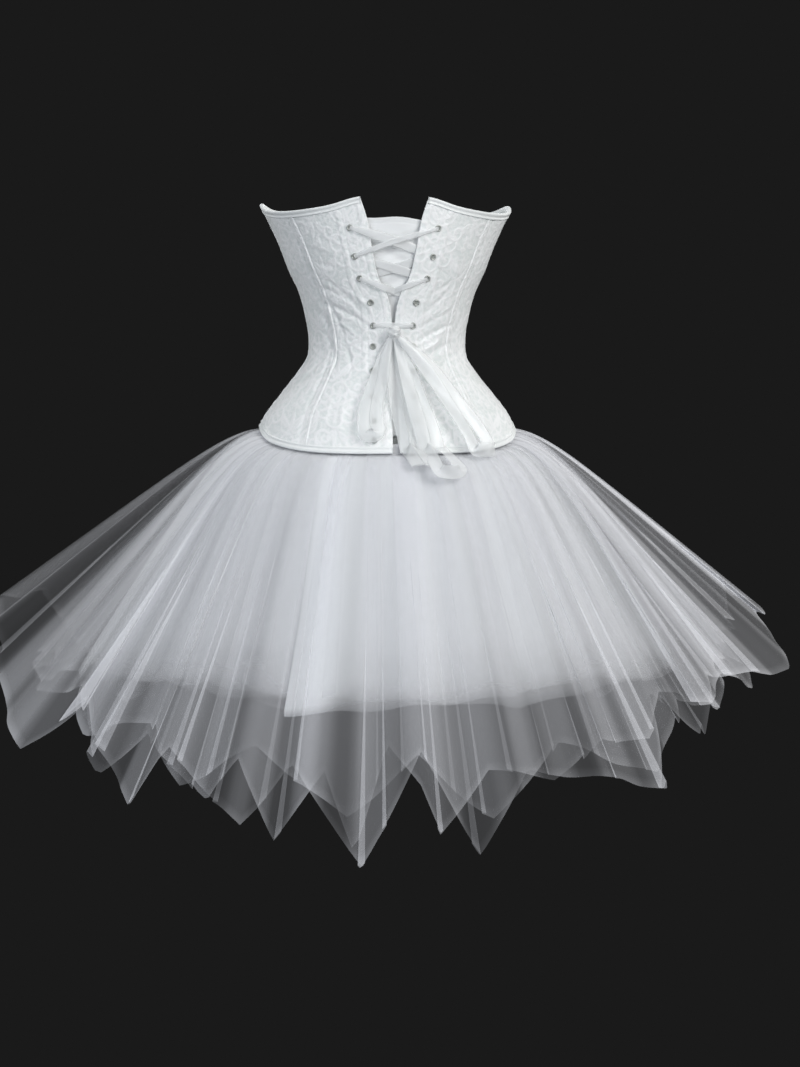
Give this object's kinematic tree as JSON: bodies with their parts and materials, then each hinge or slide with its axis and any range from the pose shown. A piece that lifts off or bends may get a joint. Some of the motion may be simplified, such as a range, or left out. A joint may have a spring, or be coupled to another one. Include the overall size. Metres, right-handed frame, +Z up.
{
  "type": "swan costume, laced corset with tulle skirt",
  "caption": "Strapless boned corset in white brocade, laced with satin ribbon up an open back, over a full layered tulle skirt with pointed hems.",
  "frame": {"origin": "middle of the wearer's waist, at the corset's narrowest level", "axes": "+Z up along the wearer, the laced back faces -Y, +X to the wearer's right"},
  "size_m": [1.0995, 0.9377, 0.8217],
  "materials": {
    "brocade": "woven jacquard, soft sheen",
    "binding_satin": "satin",
    "ribbon_satin": "satin",
    "eyelet_metal": "rolled, satin",
    "tulle": "sheer net",
    "dense_tulle": "gathered net"
  },
  "bodies": {
    "root": {"back_left": "brocade", "back_right": "brocade", "bow_knot": "ribbon_satin", "eyelet_left_01": "eyelet_metal", "eyelet_left_02": "eyelet_metal", "eyelet_left_03": "eyelet_metal", "eyelet_left_04": "eyelet_metal", "eyelet_left_05": "eyelet_metal", "eyelet_left_06": "eyelet_metal", "eyelet_left_07": "eyelet_metal", "eyelet_left_08": "eyelet_metal", "eyelet_left_09": "eyelet_metal", "eyelet_left_10": "eyelet_metal", "eyelet_right_01": "eyelet_metal", "eyelet_right_02": "eyelet_metal", "eyelet_right_03": "eyelet_metal", "eyelet_right_04": "eyelet_metal", "eyelet_right_05": "eyelet_metal", "eyelet_right_06": "eyelet_metal", "eyelet_right_07": "eyelet_metal", "eyelet_right_08": "eyelet_metal", "eyelet_right_09": "eyelet_metal", "eyelet_right_10": "eyelet_metal", "front": "brocade", "hem_binding": "binding_satin", "lace_1_left": "ribbon_satin", "lace_1_right": "ribbon_satin", "lace_2_left": "ribbon_satin", "lace_2_right": "ribbon_satin", "lace_3_left": "ribbon_satin", "lace_3_right": "ribbon_satin", "lace_5_across": "ribbon_satin", "lace_6_left": "ribbon_satin", "lace_6_right": "ribbon_satin", "lace_8_left": "ribbon_satin", "lace_8_right": "ribbon_satin", "middle_1": "tulle", "middle_2": "tulle", "middle_3": "tulle", "middle_4": "tulle", "middle_5": "tulle", "modesty_panel": "brocade", "outer_1": "tulle", "outer_2": "tulle", "outer_3": "tulle", "outer_4": "tulle", "outer_5": "tulle", "ribbon_loop_left": "ribbon_satin", "ribbon_loop_middle": "ribbon_satin", "ribbon_loop_right": "ribbon_satin", "ribbon_tail_left": "ribbon_satin", "ribbon_tail_right": "ribbon_satin", "side_left": "brocade", "side_right": "brocade", "skirt_band": "binding_satin", "top_binding": "binding_satin", "under_1": "dense_tulle", "under_2": "dense_tulle", "under_3": "dense_tulle"}
  },
  "joints": []
}
